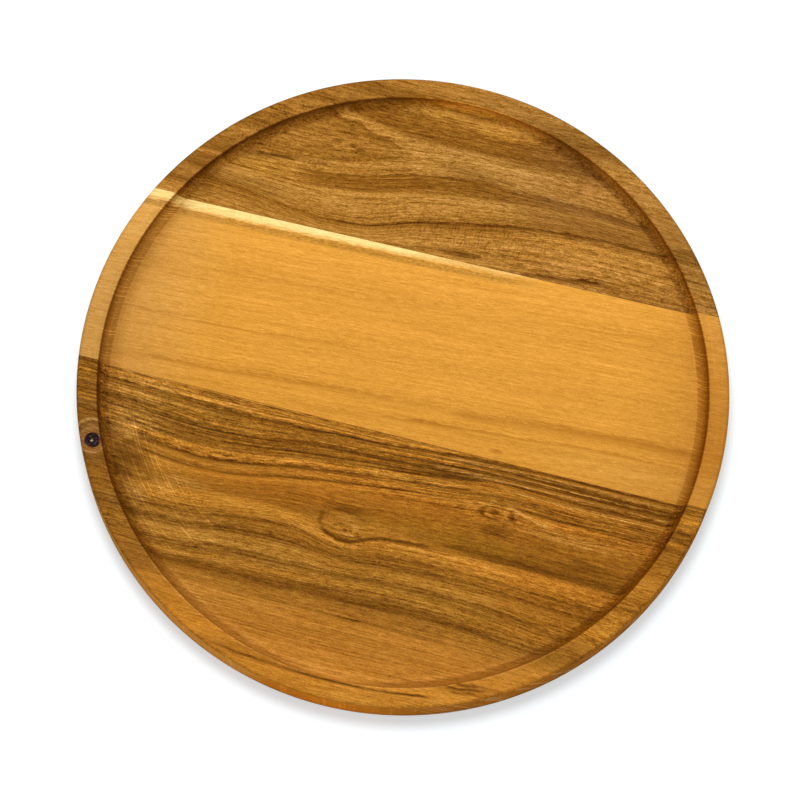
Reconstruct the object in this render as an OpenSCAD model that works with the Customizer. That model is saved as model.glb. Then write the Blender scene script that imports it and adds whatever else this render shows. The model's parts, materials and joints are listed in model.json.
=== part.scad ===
// Round wooden serving board for a pizza: wide staves glued edge to edge, turned to a disc,
// with a sunk floor inside a raised flat rim. The grain runs along X, the underside lies on Z = 0.

/* [Board] */
// Diameter of the whole board
board_d = 330; // [260:1:420]
// Thickness at the rim
board_t = 20; // [16:0.5:30]
// Radius that eases the upper outer edge
top_edge_r = 1.5; // [0.5:0.1:3]
// Radius that eases the lower outer edge
bottom_edge_r = 1; // [0.5:0.1:3]

/* [Recess] */
// Width of the raised rim, from the recess wall to the outer edge
rim_w = 10.5; // [8:0.1:20]
// Depth of the sunk floor below the rim
recess_depth = 6; // [4:0.25:9]
// Radius of the cove that leads the floor up into the wall
cove_r = 5.4; // [2:0.1:8]
// Radius that eases the inner edge of the rim
lip_r = 0.6; // [0.3:0.1:1.5]

/* [Staves] */
// Distance of the upper seam from the centre of the board
upper_seam_y = 73; // [45:0.5:100]
// Lean of the upper seam against the grain direction, in degrees
upper_seam_angle = 0.4; // [-2:0.1:2]
// Distance of the lower seam from the centre of the board, negative towards the lower edge
lower_seam_y = -24.5; // [-60:0.5:10]
// Lean of the lower seam against the grain direction, in degrees
lower_seam_angle = -0.4; // [-2:0.1:2]
// Thickness of the cured glue between two staves
glue_t = 0.2; // [0.1:0.05:0.4]

/* [Knot] */
// Diameter of the knot where it shows on the rim
knot_d = 7.6; // [4:0.1:9]
// Diameter of the knot at its foot inside the stave
knot_foot_d = 5; // [3:0.1:7]
// How deep the knot reaches into the stave
knot_depth = 9; // [4:0.5:12]
// Distance of the knot's centre from the outer edge of the board
knot_inset = 6; // [4:0.1:9]
// Place of the knot round the rim, in degrees from the grain direction
knot_angle = 204; // [195:1:340]
// Bark-wide gap between the knot and the wood that grew round it
knot_gap = 0.1; // [0.05:0.05:0.3]

/* [Hidden] */
$fn = 192;
board_r = board_d / 2;
recess_r = board_r - rim_w;
floor_z = board_t - recess_depth;
// The cove stays below the eased lip, so the wall above it is upright.
cove_fit_r = min(cove_r, recess_depth - lip_r);
floor_r = recess_r - cove_fit_r;
// The knot narrows evenly towards its foot.
knot_spread = (knot_d - knot_foot_d) / knot_depth;
// How far cutting shapes reach past what they cut
past = 5;
// Straight steps that make up an eased edge and the cove
edge_steps = 6;
cove_steps = 12;

// Points along an arc of the section, given as [distance from the axis, height]
function arc(centre, r, from, to, steps) = [
    for (i = [0 : steps])
        let (a = from + (to - from) * i / steps)
            centre + r * [cos(a), sin(a)]
];

// Half section of the whole board: underside, eased outer edges, rim, eased lip, cove and floor
module board_section() {
    polygon(concat(
        [[0, 0]],
        arc([board_r - bottom_edge_r, bottom_edge_r], bottom_edge_r, -90, 0, edge_steps),
        arc([board_r - top_edge_r, board_t - top_edge_r], top_edge_r, 0, 90, edge_steps),
        arc([recess_r + lip_r, board_t - lip_r], lip_r, 90, 180, edge_steps),
        arc([floor_r, floor_z + cove_fit_r], cove_fit_r, 0, -90, cove_steps),
        [[0, floor_z]]
    ));
}

// The disc that the glued-up staves were turned to
module board() {
    rotate_extrude()
        board_section();
}

// Everything beyond a seam, seen from the lower edge of the board
module beyond(seam_y, seam_angle, shift) {
    reach = board_d + past;
    rotate([0, 0, seam_angle])
        translate([-reach, seam_y + shift, -past])
            cube([2 * reach, reach, board_t + 2 * past]);
}

module beyond_upper(shift) {
    beyond(upper_seam_y, upper_seam_angle, shift);
}

module beyond_lower(shift) {
    beyond(lower_seam_y, lower_seam_angle, shift);
}

// The tapered branch stub, run on past the rim's face
module knot_cone(gap) {
    rotate([0, 0, knot_angle])
        translate([board_r - knot_inset, 0, board_t - knot_depth])
            cylinder(
                h = knot_depth + past,
                d1 = knot_foot_d + 2 * gap,
                d2 = knot_d + knot_spread * past + 2 * gap
            );
}

// Stave above the upper seam, brown with dark figure
module upper_stave() {
    color([0.62, 0.43, 0.18])
        intersection() {
            board();
            beyond_upper(glue_t / 2);
        }
}

// Stave between the seams, plain honey gold
module middle_stave() {
    color([0.87, 0.62, 0.26])
        intersection() {
            difference() {
                board();
                beyond_upper(-glue_t / 2);
            }
            beyond_lower(glue_t / 2);
        }
}

// Stave below the lower seam, brown with dark streaks, with the socket of the knot
module lower_stave() {
    color([0.66, 0.43, 0.16])
        difference() {
            board();
            beyond_lower(-glue_t / 2);
            knot_cone(knot_gap);
        }
}

// Cured glue in the seam of the upper and middle staves, flush with the board all round
module upper_glue_line() {
    color([0.42, 0.27, 0.1])
        intersection() {
            difference() {
                board();
                beyond_upper(glue_t / 2);
            }
            beyond_upper(-glue_t / 2);
        }
}

// Cured glue in the seam of the middle and lower staves, flush with the board all round
module lower_glue_line() {
    color([0.42, 0.27, 0.1])
        intersection() {
            difference() {
                board();
                beyond_lower(glue_t / 2);
            }
            beyond_lower(-glue_t / 2);
        }
}

// Dead branch stub, sawn and sanded flush with the rim, standing on the floor of its socket
module rim_knot() {
    color([0.13, 0.07, 0.07])
        intersection() {
            board();
            knot_cone(0);
        }
}

upper_stave();
middle_stave();
lower_stave();
upper_glue_line();
lower_glue_line();
rim_knot();
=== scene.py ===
import json
import math

import bmesh
import bpy
from mathutils import Matrix, Vector


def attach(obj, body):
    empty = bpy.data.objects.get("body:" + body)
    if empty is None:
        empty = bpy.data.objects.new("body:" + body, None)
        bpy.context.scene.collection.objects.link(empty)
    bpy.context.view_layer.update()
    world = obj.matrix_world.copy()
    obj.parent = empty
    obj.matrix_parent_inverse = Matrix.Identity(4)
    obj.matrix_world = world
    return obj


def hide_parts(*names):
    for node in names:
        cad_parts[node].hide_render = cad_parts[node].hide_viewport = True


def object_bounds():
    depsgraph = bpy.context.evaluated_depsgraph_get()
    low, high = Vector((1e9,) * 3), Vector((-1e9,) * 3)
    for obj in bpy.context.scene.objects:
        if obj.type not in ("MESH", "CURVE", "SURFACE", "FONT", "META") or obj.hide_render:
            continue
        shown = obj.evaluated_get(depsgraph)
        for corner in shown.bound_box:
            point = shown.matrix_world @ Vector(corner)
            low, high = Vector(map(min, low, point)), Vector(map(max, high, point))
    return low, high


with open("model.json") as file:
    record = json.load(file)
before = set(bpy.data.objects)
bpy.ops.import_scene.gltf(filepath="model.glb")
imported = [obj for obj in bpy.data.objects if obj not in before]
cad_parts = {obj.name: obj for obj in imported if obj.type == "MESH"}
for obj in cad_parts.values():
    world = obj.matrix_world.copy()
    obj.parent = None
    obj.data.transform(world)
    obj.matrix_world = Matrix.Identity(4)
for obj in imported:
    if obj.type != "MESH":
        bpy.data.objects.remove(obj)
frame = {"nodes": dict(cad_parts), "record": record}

cad_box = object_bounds()


# Upper stave
# A wide plank of brown hardwood with a dark cathedral figure. It is glued along one edge to the next
# plank, and the glued-up blank is turned on a lathe: sunk floor, cove, flat rim, eased edges.

class Grain:
    """One output in a node tree. Sums on it add Math nodes, and node() adds any other kind."""

    def __init__(self, tree, out=None):
        self.tree = tree
        self.out = out

    def node(self, kind, settings, sockets, output=0):
        """Adds a node: settings first, then the values or links of its sockets."""
        made = self.tree.nodes.new(kind)
        for name, value in settings.items():
            if name == "stops":
                ramp = made.color_ramp
                while len(ramp.elements) > 1:
                    ramp.elements.remove(ramp.elements[-1])
                ramp.elements[0].position = value[0][0]
                ramp.elements[0].color = value[0][1]
                for place, colour in value[1:]:
                    ramp.elements.new(place).color = colour
            elif name == "bends":
                line = made.mapping.curves[0]
                line.points[0].location = value[0]
                line.points[1].location = value[-1]
                for bend in value[1:-1]:
                    line.points.new(*bend)
                for point in line.points:
                    point.handle_type = "AUTO_CLAMPED"
                made.mapping.update()
            elif name == "choices":
                while len(made.index_switch_items) < value:
                    made.index_switch_items.new()
            else:
                setattr(made, name, value)
        for name, value in sockets.items():
            if isinstance(value, Grain):
                self.tree.links.new(value.out, made.inputs[name])
            else:
                made.inputs[name].default_value = value
        return Grain(self.tree, made.outputs[output] if made.outputs else None)

    def maths(self, operation, first, second=0.0, clamp=False):
        """Adds a Math node."""
        settings = {"operation": operation, "use_clamp": clamp}
        return self.node("ShaderNodeMath", settings, {0: first, 1: second})

    def __add__(self, other):
        return self.maths("ADD", self, other)

    __radd__ = __add__

    def __sub__(self, other):
        return self.maths("SUBTRACT", self, other)

    def __rsub__(self, other):
        return self.maths("SUBTRACT", other, self)

    def __mul__(self, other):
        return self.maths("MULTIPLY", self, other)

    __rmul__ = __mul__

    def __truediv__(self, other):
        return self.maths("DIVIDE", self, other)

    def __rtruediv__(self, other):
        return self.maths("DIVIDE", other, self)

    def __pow__(self, other):
        return self.maths("POWER", self, other)

    def __abs__(self):
        return self.maths("ABSOLUTE", self)

    def held(self):
        """The same value, kept between 0 and 1."""
        return self.maths("ADD", self, 0.0, clamp=True)

    def most(self, other):
        """The larger of two values."""
        return self.maths("MAXIMUM", self, other)

    def ramped(self, start, end):
        """0 up to start, 1 from end on, eased between."""
        settings = {"interpolation_type": "SMOOTHSTEP"}
        ends = {"Value": self, "From Min": start, "From Max": end}
        return self.node("ShaderNodeMapRange", settings, ends)

    def faded(self, start, end):
        """1 up to start, 0 from end on, eased between."""
        return 1.0 - self.ramped(start, end)

    def between(self, start, full, fading, end):
        """Rises from start to full and falls again from fading to end."""
        return self.ramped(start, full) * self.faded(fading, end)

    def spot(self, x, y, z=0.0):
        """A place made of its three parts."""
        return self.node("ShaderNodeCombineXYZ", {}, {"X": x, "Y": y, "Z": z})

    def parts(self):
        """The three parts of a place."""
        return [self.node("ShaderNodeSeparateXYZ", {}, {0: self}, part) for part in "XYZ"]


board_radius = round((cad_box[1].x - cad_box[0].x) / 2, 4)
board_thickness = round(cad_box[1].z, 4)
rim_width = 0.0105
cove_radius = 0.0054
floor_height = next(m["pos_m"][2] for m in frame["record"]["mounts"] if m["name"] == "serving_floor")
glue_thickness = 0.0002
# A seam's distance from the centre, and how far it leans against the grain
upper_seam = (0.073, math.radians(0.4))
steps_round = 320
steps_in_ease = 8
# Faces that meet at a sharper turn than this show an edge, and points closer than this are one point
sharp_turn = math.radians(35)
touching = 1e-7


def placed(name, data):
    """A new object in the scene, at the origin."""
    piece = bpy.data.objects.new(name, data)
    bpy.context.scene.collection.objects.link(piece)
    return piece


def turned_board():
    """The whole turned disc, as a plain mesh, from a section carried once round the axis."""
    tree = bpy.data.node_groups.new("turned_board", "GeometryNodeTree")
    sizes = {
        "Board radius": board_radius,
        "Thickness": board_thickness,
        "Recess radius": board_radius - rim_width,
        "Floor height": floor_height,
        "Foot edge": 0.001,
        "Rim edge": 0.0015,
        "Lip": 0.0006,
        "Cove": cove_radius,
        "Ring spacing": 0.012,
    }
    socket = tree.interface.new_socket
    ids = {}
    for label in sizes:
        ids[label] = socket(label, in_out="INPUT", socket_type="NodeSocketFloat").identifier
    steps_id = socket("Steps round", in_out="INPUT", socket_type="NodeSocketInt").identifier
    socket("Geometry", in_out="OUTPUT", socket_type="NodeSocketGeometry")
    bench = Grain(tree)
    given = tree.nodes.new("NodeGroupInput")
    size = {label: Grain(tree, given.outputs[label]) for label in sizes}
    steps = Grain(tree, given.outputs["Steps round"])

    # Corners of the half section, measured outwards from the recess wall and upwards from the foot
    axis = 0.0 - size["Recess radius"]
    edge = size["Board radius"] - size["Recess radius"]
    corners = [(axis, 0.0), (edge, 0.0), (edge, size["Thickness"]), (0.0, size["Thickness"])]
    corners += [(0.0, size["Floor height"]), (axis, size["Floor height"])]
    eases = [0.0, size["Foot edge"], size["Rim edge"], size["Lip"], size["Cove"], 0.0]
    index = bench.node("GeometryNodeInputIndex", {}, {})
    places = {"Index": index}
    for number, (out, up) in enumerate(corners):
        places[str(number)] = bench.spot(out, 0.0 - up)
    place = bench.node("GeometryNodeIndexSwitch", {"data_type": "VECTOR", "choices": len(corners)}, places)
    rounds = {"Index": index}
    rounds.update({str(number): ease for number, ease in enumerate(eases)})
    ease = bench.node("GeometryNodeIndexSwitch", {"data_type": "FLOAT", "choices": len(corners)}, rounds)

    line = bench.node("GeometryNodeMeshLine", {}, {"Count": len(corners)})
    line = bench.node("GeometryNodeSetPosition", {}, {"Geometry": line, "Position": place})
    section = bench.node("GeometryNodeMeshToCurve", {}, {"Mesh": line})
    eased = {"Curve": section, "Count": steps_in_ease, "Radius": ease, "Limit Radius": True}
    section = bench.node("GeometryNodeFilletCurve", {"mode": "POLY"}, eased)

    # Long straight stretches get rings, so that no face runs from the axis to the rim
    here = bench.node("GeometryNodeInputPosition", {}, {})
    after = {"Value": here, "Index": index + 1}
    beyond = bench.node("GeometryNodeFieldAtIndex", {"data_type": "FLOAT_VECTOR"}, after)
    stretch = bench.node("ShaderNodeVectorMath", {"operation": "DISTANCE"}, {0: here, 1: beyond}, "Value")
    cuts = bench.maths("FLOOR", stretch / size["Ring spacing"])
    section = bench.node("GeometryNodeSubdivideCurve", {}, {"Curve": section, "Cuts": cuts})

    round_path = {"Resolution": steps, "Radius": size["Recess radius"]}
    path = bench.node("GeometryNodeCurvePrimitiveCircle", {"mode": "RADIUS"}, round_path)
    disc = bench.node("GeometryNodeCurveToMesh", {}, {"Curve": path, "Profile Curve": section})
    disc = bench.node("GeometryNodeMergeByDistance", {}, {"Geometry": disc, "Distance": 10 * touching})
    disc = bench.node("GeometryNodeFlipFaces", {}, {"Mesh": disc})
    disc = bench.node("GeometryNodeRealizeInstances", {}, {"Geometry": disc})
    disc = bench.node("GeometryNodeSetMaterial", {}, {"Geometry": disc})
    bench.node("NodeGroupOutput", {}, {0: disc})

    holder = placed("turned_board", bpy.data.meshes.new("turned_board"))
    turning = holder.modifiers.new("turning", "NODES")
    turning.node_group = tree
    for label, value in sizes.items():
        turning[ids[label]] = value
    turning[steps_id] = steps_round
    depsgraph = bpy.context.evaluated_depsgraph_get()
    mesh = bpy.data.meshes.new_from_object(holder.evaluated_get(depsgraph))
    bpy.data.objects.remove(holder)
    return mesh


board_mesh = turned_board()


def as_mesh(shape, name):
    """The shape as a plain mesh with a name."""
    mesh = bpy.data.meshes.new(name)
    shape.to_mesh(mesh)
    shape.free()
    return mesh


def stave(name, above=None, below=None):
    """Saws the part of the turned disc between two seams out of it and closes its glued edges."""
    shape = bmesh.new()
    shape.from_mesh(board_mesh)
    for seam, side in ((above, 1.0), (below, -1.0)):
        if seam is None:
            continue
        distance, lean = seam
        across = Vector((-math.sin(lean), math.cos(lean), 0.0))
        face = across * (distance + side * glue_thickness / 2)
        everything = shape.verts[:] + shape.edges[:] + shape.faces[:]
        sawn = bmesh.ops.bisect_plane(
            shape, geom=everything, dist=touching, plane_co=face, plane_no=across * side, clear_inner=True
        )
        sawn_edges = [part for part in sawn["geom_cut"] if isinstance(part, bmesh.types.BMEdge)]
        bmesh.ops.contextual_create(shape, geom=sawn_edges)
    bmesh.ops.recalc_face_normals(shape, faces=shape.faces[:])
    mesh = as_mesh(shape, name)
    mesh.shade_smooth()
    mesh.set_sharp_from_angle(angle=sharp_turn)
    return placed(name, mesh)


def tone(red, green, blue):
    """A colour as a screen shows it, 0 to 255, as the linear colour that a shader takes."""
    shares = [part / 255 for part in (red, green, blue)]
    return (*[s / 12.92 if s <= 0.04045 else ((s + 0.055) / 1.055) ** 2.4 for s in shares], 1.0)


# The figure is drawn in mm. Reach is half the length over which its lines run, and the lean is how far
# the rings move sideways for each mm of depth.
per_metre = 1000.0
reach = 170.0
ring_lean = 0.6
board_edge = board_radius * per_metre
recess_edge = (board_radius - rim_width) * per_metre
cove_foot = recess_edge - cove_radius * per_metre


def blank_material(name):
    """A new material without nodes, and the bench that adds nodes to it."""
    material = bpy.data.materials.new(name)
    material.use_nodes = True
    material.node_tree.nodes.clear()
    return material, Grain(material.node_tree)


def wood_bench(name):
    """A new material and the place on the wood in mm, with its three parts."""
    material, bench = blank_material(name)
    metres = bench.node("ShaderNodeTexCoord", {}, {}, "Object")
    place = bench.node("ShaderNodeVectorMath", {"operation": "SCALE"}, {0: metres, "Scale": per_metre})
    return material, place, *place.parts()


def streaks(place, length, width, shift, detail=2.0, roughness=0.5):
    """Noise drawn out along the grain, about 0.5 on average, in spots of a size in mm."""
    laid = {"Vector": place, "Location": (shift, shift * 0.7, shift * 0.3)}
    laid["Scale"] = (1 / length, 1 / width, 1 / width)
    spots = place.node("ShaderNodeMapping", {}, laid)
    made = {"Vector": spots, "Scale": 1.0, "Detail": detail, "Roughness": roughness}
    return place.node("ShaderNodeTexNoise", {}, made)


def drawn_line(x, bends, low, high):
    """Height of a drawn line at x, as a share of the way from low to high."""
    share = (x + reach) / (2 * reach)
    points = [((px + reach) / (2 * reach), (py - low) / (high - low)) for px, py in bends]
    return x.node("ShaderNodeFloatCurve", {"bends": points}, {"Value": share})


def straightened(x, y, lines):
    """Height that each spot had before the growth rings bent. Each line has a straight height and bends."""
    heights = [bend[1] for line in lines for bend in line[1]]
    low, high = min(heights), max(heights)
    up = (y - low) / (high - low)
    pinch = 0.04 / (high - low)
    edges = []
    for line in lines:
        edge = drawn_line(x, line[1], low, high)
        if edges:
            edge = edge.most(edges[-1] + pinch)
        edges.append(edge)
    height = lines[0][0]
    for number in range(len(lines) - 1):
        span = {"Value": up, "From Min": edges[number], "From Max": edges[number + 1]}
        span["To Max"] = lines[number + 1][0] - lines[number][0]
        height = x.node("ShaderNodeMapRange", {}, span) + height
    return height


def eased_lines(lines, kept):
    """Some of the lines, each at the height that it has in the middle of the board."""
    eased = []
    for level, bends in lines:
        if level in kept:
            before = max(bend for bend in bends if bend[0] <= 0)
            after = min(bend for bend in bends if bend[0] >= 0)
            share = -before[0] / (after[0] - before[0]) if after[0] > before[0] else 0.0
            eased.append((before[1] + share * (after[1] - before[1]), bends))
    return eased


def mixed(colour, other, share, blend="MIX"):
    """The colour with a share of another one mixed in."""
    settings = {"data_type": "RGBA", "blend_type": blend}
    bench = share if isinstance(share, Grain) else colour
    return bench.node("ShaderNodeMix", settings, {0: share, 6: colour, 7: other}, 2)


def tinted(colour, tint, share):
    """The colour with a share of it multiplied by a tint."""
    return mixed(colour, (*tint, 1.0), share, "MULTIPLY")


bands_in_ramp = 14
lines_in_ramp = 8


def toned(height, dark, pale, bands):
    """Colour at a height, from bands in mm order.

    Each band has a lightness: 0 is the dark tone, 10 the pale one."""
    colour = None
    for first in range(0, len(bands) - 1, bands_in_ramp):
        some = bands[first:first + bands_in_ramp + 1]
        low, high = some[0][0], some[-1][0]
        ramp = []
        for at, light in some:
            shade = [deep + (bright - deep) * light / 10 for deep, bright in zip(dark, pale)]
            ramp.append(((at - low) / (high - low), tone(*shade)))
        band = height.node("ShaderNodeValToRGB", {"stops": ramp}, {0: (height - low) / (high - low)})
        if colour is None:
            colour = band
        else:
            colour = mixed(colour, band, height.maths("GREATER_THAN", height, low))
    return colour


def ring_lines(height, lines):
    """Strength of thin lines at given heights, each with a half width and a strength."""
    total = None
    for first in range(0, len(lines), lines_in_ramp):
        some = sorted(lines[first:first + lines_in_ramp])
        low = some[0][0] - some[0][1] - 0.5
        high = some[-1][0] + some[-1][1] + 0.5
        ramp = [(0.0, (0, 0, 0, 1))]
        for at, half, strength in some:
            for place, value in ((at - half, 0), (at, strength), (at + half, 0)):
                ramp.append(((place - low) / (high - low), (value, value, value, 1)))
        ramp = sorted(ramp)
        band = height.node("ShaderNodeValToRGB", {"stops": ramp}, {0: (height - low) / (high - low)})
        value = height.node("ShaderNodeRGBToBW", {}, {0: band})
        total = value if total is None else total + value
    return total


def along(x, start, end, fade):
    """1 between two places along the grain, fading out towards both."""
    return x.between(start, start + fade, end - fade, end)


def ridge(value, half_width):
    """1 where a value is 0, falling evenly to 0 on both sides of it."""
    return (1.0 - abs(value) / half_width).held()


def oval(x, y, centre, half_length, half_width):
    """0 at the centre of an oval, 1 on its edge and more outside."""
    across = (x - centre[0]) / half_length
    up = (y - centre[1]) / half_width
    return across * across + up * up


def patch(x, y, centre, half_length, half_width):
    """1 at the centre of a soft oval patch, 0 outside it."""
    return (1.0 - oval(x, y, centre, half_length, half_width)).held()


def patches(x, y, ovals):
    """Ovals laid over each other, each with a centre, half length, half width and strength."""
    total = 0.0
    for centre, half_length, half_width, strength in ovals:
        total = strength * patch(x, y, centre, half_length, half_width) + total
    return total


def stroke(x, y, bends, half_width):
    """1 along a drawn stroke, 0 beside it and past its ends."""
    heights = [bend[1] for bend in bends]
    low, high = min(heights) - 1.0, max(heights) + 1.0
    start, end = bends[0][0], bends[-1][0]
    ends = [(-reach, bends[0][1]), *bends, (reach, bends[-1][1])]
    line = drawn_line(x, ends, low, high) * (high - low) + low
    return ridge(y - line, half_width) * along(x, start, end, min(8.0, 0.25 * (end - start)))


def strokes(x, y, drawn):
    """Strokes laid over each other, each with bends, a half width and a strength."""
    total = 0.0
    for bends, half_width, strength in drawn:
        total = strength * stroke(x, y, bends, half_width) + total
    return total


def from_centre(x, y):
    """Distance from the axis that the board was turned about, and the angle round it."""
    return (x * x + y * y) ** 0.5, x.maths("ARCTAN2", y, x)


def on_rim(x, y, z):
    """1 on the rim and the outer side, 0 on the floor and the underside."""
    return from_centre(x, y)[0].ramped(recess_edge - 2.5, recess_edge + 0.1) * z.ramped(0.2, 1.2)


def on_top(z):
    """1 on the floor, the cove and the rim, 0 on the underside."""
    return z.ramped(8.0, 12.0)


def leaned(y, z, level):
    """Place across the board where the ring at y and z comes up at a level in metres.

    The rings lean through the thickness, so the figure shifts from one level to another."""
    return y - ring_lean * (z - level * per_metre)


def oiled(material, colour, roughness, relief):
    """Finishes a material: a thin satin skin of oil, with the grain standing up a little."""
    bench = Grain(material.node_tree)
    bump = bench.node("ShaderNodeBump", {}, {"Strength": 0.3, "Distance": 0.0002, "Height": relief})
    skin = {"Base Color": colour, "Roughness": roughness, "Specular IOR Level": 0.02, "Normal": bump}
    surface = bench.node("ShaderNodeBsdfPrincipled", {}, skin)
    bench.node("ShaderNodeOutputMaterial", {}, {"Surface": surface})


def fibres(flow):
    """Fibres of three sizes, each about 0 on average: short ones, long ones and hairlines."""
    short = streaks(flow, length=5.0, width=0.8, shift=11.0, detail=3.0, roughness=0.7) - 0.5
    long = streaks(flow, length=45.0, width=1.5, shift=37.0, detail=4.0, roughness=0.7) - 0.5
    hair = streaks(flow, length=30.0, width=0.55, shift=47.0) - 0.5
    return short, long, hair


def grained(material, place, flow, colour, fibre, depth, marks):
    """Adds what every plank has: fibres, pores, pale flecks, turning marks and darker cut faces, then oil.
    It also paints shade on the floor at the foot of the cove near the left end.

    Depth scales the contrast of the grain, and marks is where sanding rings show."""
    short, long, hair = fibre
    grit = streaks(flow, length=1.1, width=0.5, shift=53.0, roughness=0.8) - 0.5
    pores = streaks(flow, length=3.2, width=0.42, shift=23.0, detail=1.0).ramped(0.56, 0.66)
    x, y, z = place.parts()
    slanted = place.spot(x, y + 0.16 * x)
    flecks = streaks(slanted, length=3.0, width=0.45, shift=31.0, detail=1.0).ramped(0.6, 0.68)
    out, turn = from_centre(x, y)
    pored = 0.65 * depth * depth * (1.0 - 0.7 * on_rim(x, y, z))
    colour = tinted(colour, (0.56, 0.44, 0.14), pored * pores)
    colour = tinted(colour, (1.35, 1.5, 2.0), (0.2 + 0.35 * depth) * flecks)
    shade = (1.0 + depth * (1.9 * short + 1.2 * long + 1.2 * hair + 1.7 * grit)).most(0.1)
    # The oil darkens cut faces most where they cross the fibres. Near the left end a painted shade also
    # darkens the floor at the foot of the cove.
    facing = place.node("ShaderNodeTexCoord", {}, {}, "Normal").parts()
    across = abs(facing[0])
    level = abs(facing[2])
    crisp = 0.3 + 0.15 * x.ramped(-60.0, 40.0)
    soaked = crisp * across.ramped(0.02, 0.12) + (1.0 - crisp) * across ** 0.65
    soaked = soaked * (1.0 - 0.75 * out.ramped(recess_edge + 0.5, recess_edge + 5.5))
    topside = on_top(z)
    # Painted shade on the floor at the foot of the cove, where the recess wall shades it
    painted_foot_shade = out.between(cove_foot - 7.1, cove_foot + 0.3, cove_foot + 0.3, cove_foot + 2.9)
    painted_foot_shade = painted_foot_shade * x.faded(-135.0, -90.0)
    colour = tinted(colour, (0.39, 0.285, 0.11), (soaked + 0.3 * painted_foot_shade * topside).held())
    # Pale rays where the cove crosses the fibres, and rings left by the sanding
    sheets = place.spot(x, y + 0.3 * abs(x))
    rays = streaks(sheets, length=30.0, width=0.6, shift=67.0, detail=1.0).ramped(0.59, 0.66)
    in_cove = out.between(cove_foot - 0.5, cove_foot + 0.7, recess_edge + 0.1, recess_edge + 1.5)
    colour = tinted(colour, (1.7, 1.8, 2.2), rays * in_cove * abs(x).ramped(90.0, 135.0) * topside)
    round_board = place.spot(120.0 * turn, out + 0.12 * x)
    sanded = streaks(round_board, length=26.0, width=0.5, shift=71.0, detail=1.0).ramped(0.6, 0.68)
    colour = tinted(colour, (1.8, 2.0, 2.7), 0.9 * sanded * marks * topside)
    # Darker fibres are also redder
    amber = place.spot(1.08 * shade, 1.05 * shade ** 1.25, 0.88 * shade ** 2.3)
    colour = mixed(colour, amber, 1.0, "MULTIPLY")
    roughness = (0.55 + 0.4 * short + 0.3 * (1.0 - level)).held()
    oiled(material, colour, roughness, short + 0.5 * hair - 0.15 * pores)


# The plank's growth rings, from the glued edge outwards. Each has its height where it lies straight
# and its bends, as places along and across the grain. Fibres drift along only some of them.
upper_rings = [
    (60.0, [(-170, 60), (170, 60)]),
    (75.5, [(-170, 79), (-106, 76), (-70, 75.5), (-55, 75.8), (-35, 78.6), (-20, 82), (-5, 84.8),
            (30, 88.5), (60, 91), (170, 88)]),
    (82.0, [(-170, 89), (-110, 84.3), (-75, 79.6), (-60, 78.4), (-50, 78.6), (-40, 79.9),
            (-30, 82.6), (-20, 86), (-10, 88.6), (0, 90.6), (55, 99.5), (70, 100.5), (90, 101),
            (170, 96)]),
    (94.0, [(-170, 101), (-130, 97.5), (-115, 95.8), (-80, 94.2), (-60, 95), (-45, 96.8),
            (-20, 102.4), (0, 106), (25, 108.8), (40, 110), (70, 110.8), (170, 104)]),
    (103.0, [(-170, 106), (-110, 101.5), (-80, 102), (-60, 104.3), (0, 116.6), (30, 117.2),
            (60, 116.4), (80, 115.3), (170, 106.5)]),
    (110.0, [(-170, 108), (-110, 106), (-85, 107.8), (-65, 110.6), (-45, 114.5), (-33, 118),
            (-31, 119.5), (-29.8, 121.4), (-28, 122.2), (40, 124), (100, 120), (170, 112)]),
    (122.0, [(-170, 141), (-100, 139), (-72, 136), (-55, 133), (-45, 130), (-40, 129),
            (-33, 126.3), (-31, 124.5), (-29.8, 122.9), (-28, 122.3), (40, 124.1), (100, 120.1),
            (170, 112.1)]),
    (130.0, [(-170, 148), (-100, 144), (-70, 140.5), (-50, 137.3), (-20, 133.6), (20, 132.6),
            (40, 133), (70, 132.5), (100, 129), (170, 118)]),
    (140.0, [(-170, 156), (-60, 146), (-20, 143), (0, 142.5), (20, 143), (60, 147), (170, 147)]),
    (148.0, [(-170, 164), (-30, 148.5), (0, 148), (30, 148.5), (170, 164)]),
    (176.0, [(-170, 176), (170, 176)]),
]
upper_drift = (60.0, 82.0, 103.0, 148.0, 176.0)
upper_latewood = tone(98, 56, 4)
golden_wood = tone(196, 139, 58)


def bent_grain(place, x, z, figure_y, rings, drifting):
    """Height that each spot had before the rings bent, and its place along the fibres."""
    height = straightened(x, figure_y, rings)
    drift = straightened(x, figure_y, eased_lines(rings, drifting))
    return height, place.spot(x, drift, z)


def upper_floor(x, flat_y, jagged):
    """Bands of light and dark wood on the floor, on the left and on the right."""
    left_half = toned(jagged, dark=(138, 87, 22), pale=(187, 133, 60), bands=[
        (60, 6), (68, 9), (76, 7), (79, 4), (82, 2), (85, 6), (88, 9), (93.6, 10), (94.4, 4), (97, 1),
        (102, 1), (103.4, 5), (105.2, 8), (109.7, 7), (110.2, 3), (115, 6), (121.7, 2), (122.2, 8),
        (124.5, 10), (127, 9), (130.6, 0), (138, 2), (144, 4), (148, 7), (152, 2), (176, 4),
    ])
    right_half = toned(jagged, dark=(142, 94, 37), pale=(196, 137, 60), bands=[
        (60, 4), (67, 5), (73, 9), (79, 10), (82, 4), (91, 4), (94, 6), (97.5, 2), (102.5, 0), (104, 4),
        (106, 7), (126, 7), (131, 1), (138, 1), (148, 4), (176, 3),
    ])
    colour = mixed(left_half, right_half, x.ramped(18.0, 58.0))
    colour = tinted(colour, (0.9, 0.89, 0.88), x.ramped(10.0, 60.0))
    return tinted(colour, (1.0, 1.05, 1.3), patch(x, flat_y, (30, 122), 80, 22))


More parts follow.
